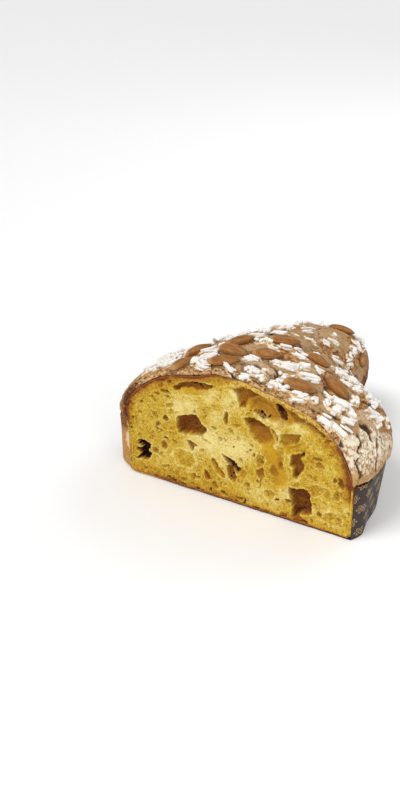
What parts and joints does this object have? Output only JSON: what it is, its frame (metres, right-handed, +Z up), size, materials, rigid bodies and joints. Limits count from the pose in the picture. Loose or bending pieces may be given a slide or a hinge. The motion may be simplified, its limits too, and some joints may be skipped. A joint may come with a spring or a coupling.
{
  "type": "colomba easter bread",
  "caption": "Dove-shaped Easter loaf with its front cut away, airy yellow crumb, almond and pearl-sugar glaze, in a low paper mould.",
  "frame": {"origin": "on the underside of the paper case, in the middle of what is left of the loaf, 100 mm behind the knife cut", "axes": "+Z up, the knife cut faces -Y, the wings of the dove reach along +X and -X, the tail points along +Y"},
  "size_m": [0.2396, 0.2159, 0.1296],
  "materials": {
    "crumb": "open yellow crumb with a browned crust, matte",
    "glaze": "baked macaroon glaze, matte, with white pearl sugar",
    "almond_skin": "toasted brown almond skin, satin",
    "case_paper": "dark brown baking paper with small gold marks"
  },
  "bodies": {
    "root": {"bread": "crumb", "glaze": "glaze", "paper_case": "case_paper", "almond_01": "almond_skin", "almond_02": "almond_skin", "almond_03": "almond_skin", "almond_04": "almond_skin", "almond_05": "almond_skin", "almond_06": "almond_skin", "almond_07": "almond_skin", "almond_08": "almond_skin", "almond_09": "almond_skin", "almond_10": "almond_skin", "almond_11": "almond_skin", "almond_12": "almond_skin", "almond_13": "almond_skin", "almond_14": "almond_skin", "almond_15": "almond_skin", "almond_16": "almond_skin", "almond_17": "almond_skin", "almond_18": "almond_skin"}
  },
  "joints": []
}
